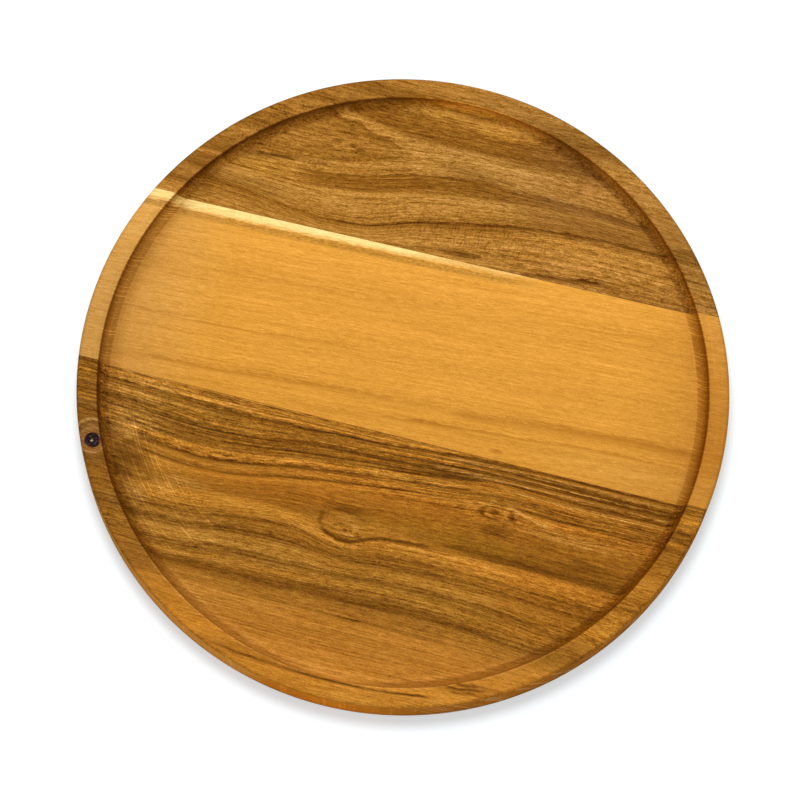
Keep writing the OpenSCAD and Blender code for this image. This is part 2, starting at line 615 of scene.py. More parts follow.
def upper_rim(x, rim_y):
    """The rim was cut higher up in the rings, so it has bands of its own on each side."""
    rim_left = toned(rim_y, dark=(135, 87, 26), pale=(184, 128, 56), bands=[
        (60, 10), (77, 10), (80, 1), (85, 6), (90, 1), (96, 3), (98, 9), (99.8, 0), (113, 8), (121, 1),
        (134, 7), (141, 2), (146.2, 6), (153, 0), (157, 6), (170, 9),
    ])
    rim_right = toned(rim_y, dark=(137, 93, 37), pale=(185, 131, 61), bands=[
        (60, 7), (76, 6), (78, 4), (83, 8), (88, 4), (93, 4), (96, 6), (98, 0), (104, 0), (106, 6),
        (109, 4), (113, 6), (130, 7), (136, 10), (144, 1), (148, 0), (158, 6), (170, 9),
    ])
    return mixed(rim_left, rim_right, x.ramped(-25.0, 25.0))


def upper_lines(x, jagged):
    """Thin dark lines along the rings, more of them on the right."""
    dark = ring_lines(jagged, [
        (84.5, 0.4, 0.15), (88, 0.4, 0.2), (90.5, 0.4, 0.2), (92.3, 0.4, 0.2), (95.5, 0.5, 0.3),
        (97, 0.4, 0.25), (98.7, 0.6, 0.3), (100.5, 0.6, 0.35), (102.4, 0.7, 0.45), (112.5, 0.4, 0.2),
        (114.3, 0.4, 0.15), (117.5, 0.4, 0.15), (119.4, 0.5, 0.25), (121.6, 0.4, 0.3), (131, 0.7, 0.35),
        (133, 0.6, 0.3), (135.5, 0.6, 0.25), (137.5, 0.5, 0.25), (142, 0.5, 0.25), (145.5, 0.4, 0.2),
        (151, 0.5, 0.3), (155, 0.6, 0.25),
    ])
    first_ring = ring_lines(jagged, [(82.2, 1.1, 0.9), (80.4, 0.5, 0.3)])
    right_lines = ring_lines(jagged, [
        (66.5, 0.6, 0.4), (69, 0.5, 0.4), (71.3, 0.5, 0.35), (73, 0.4, 0.3), (75, 0.5, 0.3),
        (77.2, 0.4, 0.25), (86.5, 0.5, 0.3),
    ])
    return dark + first_ring * x.ramped(-70.0, -48.0) + right_lines * x.ramped(0.0, 40.0)


def upper_marks(x, edge_y):
    """Dark strokes and spots on the floor beside the rings."""
    marks = strokes(x, edge_y, [
        ([(18, 72.3), (40, 73.6), (55, 75.2), (70, 76.6), (90, 78.5)], 1.9, 0.75),
        ([(58, 72.4), (85, 73), (110, 73.8), (134, 74.6)], 1.0, 0.6),
        ([(96, 84.8), (110, 84.2), (124, 83.4)], 0.7, 0.45),
        ([(66, 79.6), (85, 80.2), (104, 80)], 0.6, 0.4),
        ([(-108, 105.1), (-95, 106), (-81, 106.4)], 1.5, 0.6),
        ([(-30, 73.4), (-12, 74.4), (4, 76.4)], 0.9, 0.4),
        ([(-116, 103), (-90, 106.2), (-70, 109), (-50, 112.2)], 2.4, 0.35),
    ])
    return marks + patches(x, edge_y, [
        ((11, 77), 14, 2.8, 0.75), ((-64, 121.2), 3.4, 1.7, 0.6), ((-55.5, 120.6), 3, 1.3, 0.8),
        ((-51.5, 119), 3, 1.2, 0.8), ((-37, 123.5), 2.2, 1.0, 0.35), ((-58, 113.2), 3.6, 1.1, 0.5),
        ((14, 113.3), 6, 1.6, 0.45), ((24, 111), 5, 1.3, 0.35), ((10, 120.2), 24, 3.6, 0.3),
        ((-104, 88), 26, 4.5, 0.3), ((78, 104), 22, 3, 0.15),
    ])


def upper_wall(x, y, z):
    """1 on the wall of the recess where it is cut along the fibres, at the top of the board. It marks where
    painted light brightens the wall, in place of light thrown onto it off the floor.
    """
    out = from_centre(x, y)[0]
    wall = out.between(recess_edge - 3.1, recess_edge - 0.1, recess_edge + 0.2, recess_edge + 0.7)
    return wall * on_top(z) * (along(x, -42.0, 58.0, 26.0) + 0.45 * x.ramped(40.0, 62.0)).held()


def upper_wood():
    """The upper plank's material: bands, lines and marks of its figure, then the grain."""
    material, place, x, y, z = wood_bench("upper_wood")
    flat_y = leaned(y, z, floor_height)
    figure_y = flat_y + 1.2 * (streaks(place, length=70.0, width=9.0, shift=3.0) - 0.5)
    height, flow = bent_grain(place, x, z, figure_y, upper_rings, upper_drift)
    fibre = fibres(flow)
    short, long, hair = fibre
    jitter = 3.0 * short + 1.6 * long
    jagged = height + jitter
    edge_y = flat_y + jitter
    rim = on_rim(x, y, z)
    off_rim = 1.0 - rim
    colour = upper_floor(x, flat_y, jagged)
    colour = mixed(colour, upper_rim(x, leaned(y, z, board_thickness) + 1.5 * jitter), rim)
    broken = streaks(flow, length=22.0, width=1.5, shift=17.0).ramped(0.28, 0.55)
    dark = 1.4 * upper_lines(x, jagged) * broken + upper_marks(x, edge_y)
    dark = dark * off_rim + rim * 0.3 * hair.ramped(0.02, 0.16)
    colour = mixed(colour, upper_latewood, dark.held())
    golden = patches(x, edge_y, [
        ((18, 146), 24, 4.5, 0.7), ((-14, 148), 16, 3, 0.5), ((-98, 98.5), 30, 5.5, 0.8),
    ])
    colour = mixed(colour, golden_wood, golden * off_rim)
    # Painted light: the wall at the top of the recess is brightened in place of light off the floor
    colour = tinted(colour, (2.0, 1.85, 1.3), upper_wall(x, y, z))
    # Short curls across the grain under the first dark ring
    curls = streaks(flow, length=0.9, width=3.2, shift=61.0, detail=1.0).ramped(0.5, 0.66)
    curled = patch(x, flat_y, (8, 89), 62, 15)
    colour = tinted(colour, (0.62, 0.54, 0.4), 0.8 * curls * curled)
    grained(material, place, flow, colour, fibre, 1.0, 0.12 * on_rim(x * 1.08, y * 1.08, z))
    return material


upper_stave = stave("upper_stave_wood", above=upper_seam)
upper_stave.data.materials.append(upper_wood())
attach(upper_stave, "root")
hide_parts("upper_stave")


# Middle stave
# The plain plank between the seams, honey gold heartwood with a strip of cream sapwood left along its
# upper edge. It is glued to both neighbours and turned with them.

lower_seam = (-0.0245, math.radians(-0.4))
brown_streak = tone(164, 98, 22)
olive_wood = tone(148, 104, 40)
cream_sapwood = tone(253, 220, 149)


def middle_streaks(x, edge_y):
    """Faint brown streaks along the grain, and one dark fleck."""
    dark = strokes(x, edge_y, [
        ([(25, -5.5), (60, -2.8), (100, 0), (152, 2)], 3.6, 0.42),
        ([(0, -14.3), (30, -13.2), (60, -11.2), (100, -8.3), (146, -7)], 1.0, 0.4),
        ([(-132, -13.2), (-70, -10.5), (0, -6.2)], 1.5, 0.45),
        ([(-146, 9.6), (-90, 11), (-20, 15)], 1.0, 0.42),
        ([(-60, -19), (0, -15.5), (40, -14)], 1.0, 0.35),
        ([(-140, 44), (-60, 41), (20, 47)], 1.4, 0.2),
    ])
    return (dark + 0.55 * patch(x, edge_y, (53, -20), 4.5, 1.7)).held()


def middle_rim(x, edge_y):
    """The rim's own bands, paler on the left."""
    rim_left = toned(edge_y, dark=(202, 144, 63), pale=(228, 164, 73), bands=[
        (-26, 0), (0, 1), (40, 5), (60, 10),
    ])
    rim_right = toned(edge_y, dark=(184, 121, 43), pale=(213, 149, 66), bands=[
        (-26, 4), (0, 0), (30, 3), (50, 5), (73, 10),
    ])
    return mixed(rim_left, rim_right, x.ramped(-60.0, 60.0))


def sapwood(colour, flow, x, y, short):
    """Adds the sapwood strip, narrower to the right, and the speckled olive zone under it."""
    sap_line = [
        (-170, 67.4), (-125, 68.2), (-70, 69), (-40, 69.8), (-10, 70.6), (15, 71.2), (35, 71.8), (60, 73.5),
        (170, 79),
    ]
    sap_low, sap_high = 60.0, 80.0
    sap_edge = drawn_line(x, sap_line, sap_low, sap_high) * (sap_high - sap_low) + sap_low
    past_sap = y + 3.0 * short - sap_edge
    speckle = streaks(flow, length=2.4, width=0.6, shift=29.0).ramped(0.42, 0.62)
    olive = past_sap.between(-6.0, -4.0, -2.4, -0.8) * x.faded(30.0, 66.0)
    colour = mixed(colour, olive_wood, olive * (0.3 + 0.4 * speckle))
    cream = past_sap.ramped(-2.2, 0.8) * (1.0 - 0.6 * x.ramped(-20.0, 20.0)) * x.faded(35.0, 62.0)
    return mixed(colour, cream_sapwood, cream)


def middle_wood():
    """The middle plank's material: gold bands, faint streaks and the sapwood, then the grain."""
    material, place, x, y, z = wood_bench("middle_wood")
    height = y - 0.055 * x + 2.0 * (streaks(place, length=90.0, width=12.0, shift=5.0) - 0.5)
    flow = place.spot(x, height, z)
    fibre = fibres(flow)
    short, long = fibre[:2]
    jitter = 4.0 * short + 4.0 * long
    edge_y = y + jitter
    rim = on_rim(x, y, z)
    colour = toned(height + jitter, dark=(198, 135, 50), pale=(228, 161, 67), bands=[
        (-40, 0), (-22, 5), (-16.5, 3), (-11, 6), (-6.5, 2), (-2, 6), (4, 7), (16, 6), (22, 7), (30, 8),
        (42, 6), (50, 7), (60, 9), (80, 10),
    ])
    colour = mixed(colour, brown_streak, middle_streaks(x, edge_y))
    colour = mixed(colour, middle_rim(x, edge_y), rim)
    far_ends = 0.5 * x.ramped(100.0, 150.0) + 0.3 * x.faded(-150.0, -115.0)
    colour = tinted(colour, (0.76, 0.7, 0.66), far_ends * (1.0 - rim))
    colour = tinted(colour, (0.92, 0.99, 1.45), x.faded(-145.0, -90.0))
    colour = tinted(colour, (1.05, 1.12, 1.35), patch(x, y, (130, -17), 65, 11))
    colour = sapwood(colour, flow, x, y, short)
    grained(material, place, flow, colour, fibre, 0.34, 0.1 * on_rim(x * 1.1, y * 1.1, z))
    return material


middle_stave = stave("middle_stave_wood", above=lower_seam, below=upper_seam)
middle_stave.data.materials.append(middle_wood())
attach(middle_stave, "root")
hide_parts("middle_stave")


# Lower stave
# A wide brown plank with dark olive streaks, two eyes of pin knots and a dead knot in its rim. The
# socket that the knot sits in goes through the eased rim into the plank.

knot_angle = math.radians(204)
knot_out = board_radius - 0.006
knot_place = Vector((knot_out * math.cos(knot_angle), knot_out * math.sin(knot_angle), 0.0))
knot_depth = 0.009
knot_foot_radius = 0.0025
knot_top_radius = 0.0038
knot_gap = 0.0001
knot_sides = 48


def knot_ring(height, gap):
    """Outline of the knot at a height above its foot, a little out of round, as real knots are."""
    radius = knot_foot_radius + (knot_top_radius - knot_foot_radius) * height / knot_depth + gap
    ring = []
    for step in range(knot_sides):
        turn = 2 * math.pi * step / knot_sides
        wobble = 1.0 + 0.035 * math.cos(2 * turn + 0.6) + 0.025 * math.cos(3 * turn + 2.0)
        out = radius * wobble
        ring.append((knot_place.x + out * math.cos(turn), knot_place.y + out * math.sin(turn)))
    return ring


# The plank's growth rings, from the outer edge up to the glued one, drawn as those of the upper stave
lower_rings = [
    (-178.0, [(-170, -178), (170, -178)]),
    (-159.5, [(-170, -150), (-40, -158), (0, -159.5), (60, -158), (170, -150)]),
    (-122.0, [(-170, -117), (-90, -121), (-50, -122), (60, -123.5), (170, -130)]),
    (-113.0, [(-170, -108), (-100, -113), (-60, -114), (-40, -114), (-20, -112.5), (0, -113.5),
            (30, -112.5), (60, -113.5), (80, -115.5), (170, -126)]),
    (-106.0, [(-170, -106), (-100, -109), (-70, -107.5), (-40, -107), (-20, -106), (30, -104.5),
            (60, -105), (80, -107), (170, -118)]),
    (-101.0, [(-170, -103), (-100, -105), (-60, -101.5), (-20, -101), (30, -99.5), (60, -100),
            (80, -102), (100, -106), (170, -112)]),
    (-95.5, [(-170, -98), (-100, -99), (-70, -96), (-40, -95), (0, -95.5), (40, -95), (80, -97),
            (170, -106)]),
    (-91.5, [(-170, -93), (-100, -94.5), (-60, -90.8), (-40, -90.5), (0, -92), (40, -90),
            (60, -90.5), (110, -94), (170, -97)]),
    (-87.0, [(-170, -86), (-100, -88), (-60, -83.8), (-45, -83), (-35, -83.4), (-15, -87.6),
            (-10, -88.1), (10, -86.6), (30, -86), (60, -86), (100, -88), (170, -90)]),
    (-82.0, [(-170, -80), (-100, -79), (-60, -76), (-50, -76), (-40, -77.5), (-15, -84.7),
            (-8, -84.8), (0, -82.4), (10, -80.4), (20, -79.6), (60, -79), (90, -79), (120, -80.5),
            (170, -84)]),
    (-80.0, [(-170, -77), (-100, -76), (-60, -74), (-30, -75.2), (-25.5, -76.5), (-23, -79.5),
            (-20, -81.3), (-12, -83.6), (-8, -83.3), (5, -78.9), (10, -78), (20, -77.3),
            (60, -76.5), (100, -77), (170, -80)]),
    (-70.0, [(-170, -76.9), (-100, -75.9), (-60, -73.9), (-30, -75.1), (-26, -73), (-22, -69.5),
            (-15, -67.5), (-5, -67.5), (5, -69), (20, -72), (40, -74.5), (60, -76), (100, -76.9),
            (170, -79.9)]),
    (-60.0, [(-170, -66), (-110, -70), (-80, -70), (-60, -66.5), (-40, -62), (-20, -58.5),
            (63, -49), (120, -52), (170, -54)]),
    (-53.0, [(-170, -58), (-130, -60.5), (-110, -63), (-95, -64), (-80, -63.6), (-70, -62.8),
            (-45, -58.4), (0, -52.4), (20, -50.5), (45, -47.5), (63, -46.5), (100, -48),
            (140, -48.5), (170, -50)]),
    (-47.5, [(-170, -53), (-135, -54), (-95, -58.3), (-85, -58.4), (-75, -57.5), (-60, -55.3),
            (-45, -52.4), (-20, -49.2), (0, -47.2), (35, -44.5), (60, -41.7), (80, -42),
            (100, -43), (170, -42.5)]),
    (-43.5, [(-170, -43), (-130, -45.5), (-110, -48.8), (-100, -50), (-85, -51), (-70, -50),
            (-45, -46.6), (-20, -43.9), (20, -41.3), (40, -39.3), (48, -37.8), (55, -37),
            (80, -39), (100, -39.5), (170, -38.5)]),
    (-34.5, [(-170, -33), (-90, -37.6), (-60, -37.5), (-20, -35.8), (0, -34.4), (20, -32),
            (60, -30), (100, -30.5), (170, -30.5)]),
    (-30.5, [(-170, -28), (-80, -32.4), (-60, -32.6), (-40, -32.1), (-20, -31), (20, -28),
            (55, -26), (80, -26.3), (170, -26)]),
    (-25.3, [(-170, -23.5), (-60, -25.3), (0, -25), (40, -24), (170, -23)]),
    (-12.0, [(-170, -12), (170, -12)]),
]
lower_drift = (-178.0, -159.5, -122.0, -106.0, -87.0, -47.5, -25.3, -12.0)
lower_latewood = tone(96, 55, 3)
pale_wood = tone(208, 152, 80)
mottle_dark = tone(124, 80, 26)
mottle_pale = tone(178, 122, 50)
# Pale tone of the painted light on the lower lip
painted_lip_light = tone(214, 150, 70)
# The outer side's tones: its wood painted brighter and more orange as painted light, and darker on the
# right as painted shade
lit_side_left = tone(232, 168, 74)
lit_side_front = tone(232, 138, 26)
highlit_side = tone(248, 174, 80)
shaded_side_right = tone(192, 120, 30)
side_bar = tone(236, 184, 122)
collar_wood = tone(142, 96, 56)
arc_wood = tone(90, 52, 26)
pale_arc_wood = tone(206, 158, 98)


def lower_floor(x, flat_y, jagged, flow):
    """Bands of light and dark wood on the floor, which run out into mottled wood at the left end."""
    left_half = toned(jagged, dark=(130, 82, 22), pale=(188, 127, 49), bands=[
        (-178, 8), (-146, 10), (-132, 8), (-124, 9), (-121, 6), (-117, 5), (-113, 0), (-110, 1),
        (-106.2, 8), (-102, 2), (-97.5, 7), (-95, 7), (-91.5, 1), (-88.3, 5), (-87, 2), (-84, 8),
        (-82, 10), (-79.8, 6), (-75, 6), (-70, 3), (-61, 5), (-55, 9), (-53, 3), (-50.3, 8), (-47.5, 2),
        (-46.6, 8), (-45.3, 9), (-43, 1), (-37, 1), (-34, 6), (-30.5, 2), (-28, 8), (-12, 3),
    ])
    right_half = toned(jagged, dark=(132, 86, 24), pale=(198, 133, 52), bands=[
        (-178, 7), (-146, 8), (-128, 8), (-117, 5), (-113, 2), (-106.2, 6), (-101, 3), (-96, 6), (-91, 3),
        (-86.5, 6), (-82.3, 10), (-80, 5), (-72, 4), (-69.7, 0), (-66, 3), (-60.5, 7), (-57, 7), (-52, 4),
        (-47, 5), (-45.5, 8), (-42, 3), (-34.5, 2), (-27, 5), (-12, 3),
    ])
    colour = mixed(left_half, right_half, x.ramped(34.0, 62.0))
    far_left = x.faded(-128.0, -104.0)
    near_seam = flat_y.ramped(-56.0, -46.0)
    mottle = streaks(flow, length=9.0, width=3.0, shift=83.0)
    mottled = mixed(mottle_dark, mottle_pale, mottle.ramped(0.36, 0.6))
    colour = mixed(colour, mottled, 0.8 * far_left * along(flat_y, -88.0, -40.0, 8.0))
    colour = tinted(colour, (0.8, 0.8, 0.82), far_left * (1.0 - near_seam))
    colour = tinted(colour, (1.16, 1.24, 1.7), far_left * near_seam)
    dim = x.ramped(40.0, 90.0) * flat_y.ramped(-116.0, -96.0)
    return tinted(colour, (0.88, 0.81, 0.7), dim)


def lower_rim(x, rim_y):
    """Bands of the rim, on the left and on the right."""
    rim_left = toned(rim_y, dark=(121, 79, 28), pale=(200, 131, 44), bands=[
        (-178, 8), (-157, 9), (-149, 7), (-145, 10), (-135, 8), (-126, 8), (-120, 3), (-115, 4),
        (-110, 3), (-108, 6), (-105, 3), (-99, 5), (-93, 1), (-85, 4), (-74, 1), (-64, 2), (-58, 0),
        (-50, 2), (-38, 2), (-27, 6), (-24, 2),
    ])
    rim_right = toned(rim_y, dark=(133, 85, 25), pale=(203, 137, 52), bands=[
        (-178, 7), (-158, 9), (-150, 10), (-142, 6), (-139, 9), (-127, 8), (-118, 2), (-112, 4),
        (-109, 4), (-102, 10), (-97, 6), (-93, 8), (-84, 4), (-72, 7), (-58, 3), (-49, 1), (-45, 3),
        (-42, 0), (-34, 7), (-30, 0), (-26, 3),
    ])
    return mixed(rim_left, rim_right, x.ramped(-25.0, 25.0))


def lower_edge(colour, x, y, z):
    """Paints light on the lip of the lower recess, paints light and shade over the wood of the cut side of
    the lower edge, and adds pale bars to the side.
    """
    out, turn = from_centre(x, y)
    lip = out.between(cove_foot - 2.1, cove_foot + 0.4, recess_edge + 0.3, recess_edge + 1.5)
    lip = lip * y.faded(-135.0, -105.0) * on_top(z)
    # Painted light: the lip at the lower edge of the recess is brightened, more so near the rim and away
    # from the middle
    glow = 0.42 + 0.4 * abs(x).ramped(8.0, 34.0) * out.ramped(recess_edge - 3.0, recess_edge - 0.9)
    colour = mixed(colour, painted_lip_light, glow * lip)
    # Painted light and shade over three quarters of the side's own colour: bright in front, darker to the
    # right
    side = out.ramped(board_edge - 1.4, board_edge - 0.4) * z.between(0.1, 0.6, 18.4, 19.4)
    painted_side_light = mixed(lit_side_left, lit_side_front, x.ramped(-110.0, -20.0))
    painted_side_light = mixed(painted_side_light, highlit_side, along(x, -122.0, -30.0, 16.0))
    painted_side_light = mixed(painted_side_light, shaded_side_right, x.ramped(10.0, 55.0))
    colour = mixed(colour, painted_side_light, 0.75 * side)
    slant = x.spot(z, board_edge * turn + 0.7 * z)
    pale_bars = streaks(slant, length=60.0, width=3.2, shift=97.0, detail=1.0).ramped(0.57, 0.63)
    return mixed(colour, side_bar, 0.5 * side * pale_bars * x.ramped(30.0, 60.0))


def lower_lines(x, jagged):
    """Thin dark lines along the rings, some of them only on the left."""
    dark = ring_lines(jagged, [
        (-150, 0.7, 0.25), (-145, 0.7, 0.2), (-138, 0.7, 0.2), (-133, 0.7, 0.25), (-129, 0.7, 0.25),
        (-121.5, 0.6, 0.35), (-113.2, 0.8, 0.5), (-111, 0.9, 0.35), (-109.3, 0.7, 0.3), (-103.8, 0.5, 0.25),
        (-102, 0.7, 0.35), (-100.3, 0.7, 0.4), (-92.5, 0.6, 0.3), (-91.3, 0.7, 0.4), (-88.6, 0.4, 0.2),
        (-87, 0.8, 0.5), (-25.4, 0.7, 0.6),
    ])
    left_lines = ring_lines(jagged, [
        (-43, 0.5, 0.4), (-41.5, 0.5, 0.4), (-40, 0.5, 0.35), (-38.3, 0.5, 0.4), (-36.8, 0.5, 0.4),
        (-35.3, 0.5, 0.4), (-31.8, 0.4, 0.25), (-30.5, 0.9, 0.65),
    ])
    dark = dark + left_lines * x.faded(34.0, 52.0)
    dark = dark + ring_lines(jagged, [(-47.5, 1.0, 0.8), (-46.2, 0.4, 0.25)]) * along(x, -122.0, 50.0, 7.0)
    return dark + ring_lines(jagged, [(-53, 0.8, 0.65), (-51.4, 0.4, 0.25)]) * along(x, -126.0, 32.0, 22.0)


def lower_marks(x, edge_y):
    """Dark strokes and patches on the floor beside the rings."""
    marks = strokes(x, edge_y, [
        ([(24, -26.8), (50, -26), (100, -26.2), (160, -26.4)], 0.9, 0.9),
        ([(34, -30.4), (70, -29.9), (100, -30.3), (160, -30.8)], 1.1, 0.95),
        ([(16, -34.8), (45, -32.8), (70, -32.6), (100, -32.8), (160, -33.1)], 1.2, 0.95),
        ([(24, -37.2), (48, -35.6), (70, -36), (95, -36.8), (158, -37.3)], 1.0, 0.85),
        ([(0, -41), (30, -39.2), (52, -37.6)], 1.5, 0.65),
        ([(68, -47), (85, -47.8), (100, -48.3), (140, -48.8)], 1.5, 0.7),
        ([(124, -42.3), (146, -42.6)], 0.9, 0.9),
        ([(34, -73.8), (60, -73.4), (80, -74.3), (100, -75), (130, -75.5)], 1.7, 0.75),
        ([(53, -62.4), (62, -62.2), (71, -62.6)], 1.1, 0.8),
        ([(-7, -121.8), (0, -122), (9, -122)], 0.7, 0.7),
        ([(100, -65.5), (112, -66.2), (124, -66.4)], 1.2, 0.4),
    ])
    return marks + patches(x, edge_y, [
        ((62, -59.8), 12, 3.6, 0.5), ((110, -68.5), 17, 4.5, 0.45), ((-12, -67), 15, 2.6, 0.5),
        ((-126, -67), 13, 10, 0.65), ((70, -104), 22, 4.5, 0.25),
    ])


def pin_knot_eyes(x, eye_y, short):
    """Dark marks of the two eyes where pin knots come to the surface."""
    eyes = strokes(x, eye_y, [
        ([(-26, -74), (-25, -77), (-23, -79.5), (-20, -81.3), (-16, -82.5), (-12, -83.6), (-8, -83.3),
          (-4, -82), (0, -80.5), (5, -78.8), (10, -77.8), (22, -77), (36, -76.6)], 1.6, 1.0),
        ([(-21, -77), (-18, -79.6), (-13, -81.4), (-8, -81.2), (-3, -79.4), (2, -77.4)], 0.8, 0.5),
        ([(-23, -70.5), (-17, -68.8), (-8, -69.2), (2, -71.5)], 1.2, 0.55),
    ])
    eyes = eyes + patches(x, eye_y, [
        ((-24.6, -73), 1.6, 4.5, 0.45), ((-11, -78.1), 1.6, 1.1, 1.0), ((-8.6, -77.6), 1.3, 0.9, 0.9),
        ((-5, -78.2), 1.2, 0.9, 0.8), ((-17, -76.6), 2.0, 0.7, 0.7), ((-14, -75.4), 2.4, 0.7, 0.4),
        ((59.3, -51.1), 3.6, 1.5, 0.9), ((60.6, -51), 1.1, 0.8, 0.7), ((68.4, -51.9), 2.4, 1.7, 1.0),
        ((54, -51.9), 1.8, 2.6, 0.55),
    ])
    left_eye = oval(x, eye_y, (-9.5, -75.2), 15.5, 8.7)
    left_ring = ridge(left_eye + 0.8 * short - 0.93, 0.286) * x.faded(-14.0, 2.0)
    eyes = eyes + 0.4 * left_ring * (1.0 - 0.6 * eye_y.ramped(-76.0, -68.0))
    right_eye = oval(x, eye_y, (61.5, -51.7), 10.2, 3.5)
    return eyes + 0.75 * ridge(right_eye - 0.85, 0.385)


def lower_rim_marks(x, rim_y, strength):
    """One long dark line round the lower rim, and short ones where it meets the cove on the right."""
    rim_line = [
        (-62.6, -151.1), (-49.6, -152.6), (-32.7, -154), (-16.3, -155.1), (0, -155.5), (13.6, -155.4),
        (27.3, -154.6), (41, -153.1), (53, -152.1),
    ]
    line = strength * stroke(x, rim_y, rim_line, 1.1)
    return line + strokes(x, rim_y, [
        ([(53, -144.4), (59, -144.6), (67, -144), (78, -143)], 1.1, 0.9),
        ([(60, -142.4), (66, -142.2), (73, -141.6)], 1.0, 0.8),
        ([(57, -146.8), (66, -146.2), (74, -145.4)], 0.8, 0.6),
    ])


def lower_lights(x, edge_y):
    """Pale patches and strokes between the dark lines."""
    light = patches(x, edge_y, [
        ((-11, -79.8), 6.0, 1.0, 0.7), ((-6.5, -75.4), 4.6, 1.3, 0.7), ((-12, -72), 6.0, 1.4, 0.4),
        ((65.2, -50.2), 1.6, 2.0, 0.4), ((70.6, -50.6), 1.6, 1.2, 0.3), ((66, -54.6), 4.5, 0.9, 0.45),
        ((57, -53.4), 3, 0.6, 0.25), ((57.5, -49.1), 3, 0.6, 0.25),
        ((-118, -84.5), 9, 6, 0.35), ((-105, -78), 9, 5, 0.35), ((-95, -73), 14, 3, 0.3),
        ((-132, -53), 10, 6, 0.4), ((40, -34.5), 22, 1.4, 0.4), ((100, -56.5), 36, 4.5, 0.2),
    ])
    return light + strokes(x, edge_y, [
        ([(62, -46.4), (70, -48.3), (78, -50), (93, -52.2)], 1.4, 0.55),
        ([(30, -28.6), (70, -28), (158, -28.6)], 1.1, 0.45),
        ([(52, -34.6), (90, -34.8), (158, -35.2)], 1.0, 0.4),
        ([(40, -31.4), (90, -31.5), (158, -31.9)], 0.6, 0.4),
        ([(54, -39), (90, -39.3), (150, -39.6)], 1.2, 0.4),
    ])


def lower_hues(colour, x, flat_y):
    """The wood is redder round the eyes and at the lower edge, and olive towards the left end."""
    for tint, centre, half_length, half_width in (
        ((1.06, 1.12, 0.95), (36, -68.5), 56, 8), ((0.98, 0.9, 0.75), (-54, -67), 50, 9),
        ((1.02, 0.92, 0.76), (8, -58), 85, 13), ((0.97, 1.06, 1.35), (-85, -98), 65, 16),
        ((0.98, 1.05, 1.2), (20, -101), 90, 14), ((1.0, 1.09, 1.3), (-112, -38), 50, 14),
        ((1.0, 0.94, 0.86), (15, -140), 110, 24),
    ):
        colour = tinted(colour, tint, patch(x, flat_y, centre, half_length, half_width))
    return colour


def from_knot(x, y):
    """Place in mm as seen from the middle of the knot, and the distance from there."""
    knot_x = x - knot_place.x * per_metre
    knot_y = y - knot_place.y * per_metre
    return knot_x, knot_y, (knot_x * knot_x + knot_y * knot_y) ** 0.5


def knot_growth(colour, x, y, rim, short):
    """Adds the growth that wraps the knot in the rim: a collar and arcs, wider above the knot."""
    above_knot, away = from_knot(x, y)[1:]
    above_knot = above_knot.ramped(-1.0, 3.0)
    collar = away.faded(4.6, 8.5 + 5.0 * above_knot) * rim
    colour = mixed(colour, collar_wood, 0.65 * collar)
    arcs = away.maths("SINE", away * 2.1 + 7.0 * short).held()
    colour = mixed(colour, arc_wood, 0.5 * arcs * away.faded(8.0, 14.0) * rim)
    frayed = away + 3.0 * short
    pale_arcs = 0.45 * ridge(frayed - 6.6, 0.7) + 0.5 * above_knot * ridge(frayed - 11.0, 1.2)
    return mixed(colour, pale_arc_wood, pale_arcs * rim)


def lower_wood():
    """The lower plank's material: bands, lines, eyes and the growth round the knot, then the grain."""
    material, place, x, y, z = wood_bench("lower_wood")
    flat_y = leaned(y, z, floor_height)
    figure_y = flat_y + 1.0 * (streaks(place, length=70.0, width=9.0, shift=7.0) - 0.5)
    height, flow = bent_grain(place, x, z, figure_y, lower_rings, lower_drift)
    fibre = fibres(flow)
    short, long, hair = fibre
    jitter = 2.6 * short + 1.4 * long
    jagged = height + jitter
    edge_y = flat_y + jitter
    rim = on_rim(x, y, z)
    off_rim = 1.0 - rim
    colour = lower_floor(x, flat_y, jagged, flow)
    colour = mixed(colour, lower_rim(x, leaned(y, z, board_thickness) + 1.5 * jitter), rim)
    colour = lower_edge(colour, x, y, z)
    broken = streaks(flow, length=22.0, width=1.5, shift=17.0).ramped(0.28, 0.55)
    floor_marks = lower_marks(x, edge_y) + pin_knot_eyes(x, flat_y + 0.4 * jitter, short)
    dark = 1.35 * lower_lines(x, jagged) * broken + floor_marks * off_rim
    dark = dark + lower_rim_marks(x, y + 0.4 * jitter, (0.5 + 0.5 * broken) * rim)
    dark = dark + rim * 0.3 * hair.ramped(0.02, 0.16)
    colour = mixed(colour, lower_latewood, dark.held())
    colour = mixed(colour, pale_wood, (lower_lights(x, edge_y) * off_rim).held())
    # Between the seam and the eyes light and dark lines lie close together
    thin = streaks(flow, length=70.0, width=0.9, shift=91.0, roughness=0.6) - 0.5
    lined = 1.0 + 2.6 * thin * along(flat_y, -56.0, -22.0, 5.0)
    colour = mixed(lower_hues(colour, x, flat_y), place.spot(lined, lined, lined), 1.0, "MULTIPLY")
    colour = knot_growth(colour, x, y, rim, short)
    colour = tinted(colour, (1.0, 0.985, 0.84), flat_y.ramped(-122.0, -104.0))
    depth = 0.65 + 0.35 * flat_y.ramped(-126.0, -112.0) + 0.08 * flat_y.ramped(-62.0, -52.0)
    depth = depth - 0.2 * along(flat_y, -80.0, -54.0, 6.0)
    sanded = patch(x, flat_y, (-118, -66), 26, 24) + 0.8 * patch(x, flat_y, (-95, -92), 30, 22)
    marks = (sanded + 0.1 * on_rim(x * 1.08, y * 1.08, z)).held()
    grained(material, place, flow, colour, fibre, depth, marks)
    return material


lower_stave = stave("lower_stave_wood", below=lower_seam)
lower_stave.data.materials.append(lower_wood())


def walled(shape, low, high):
    """Faces of the wall between two rings of points."""
    for step in range(len(low)):
        after = (step + 1) % len(low)
        shape.faces.new((low[step], low[after], high[after], high[step]))


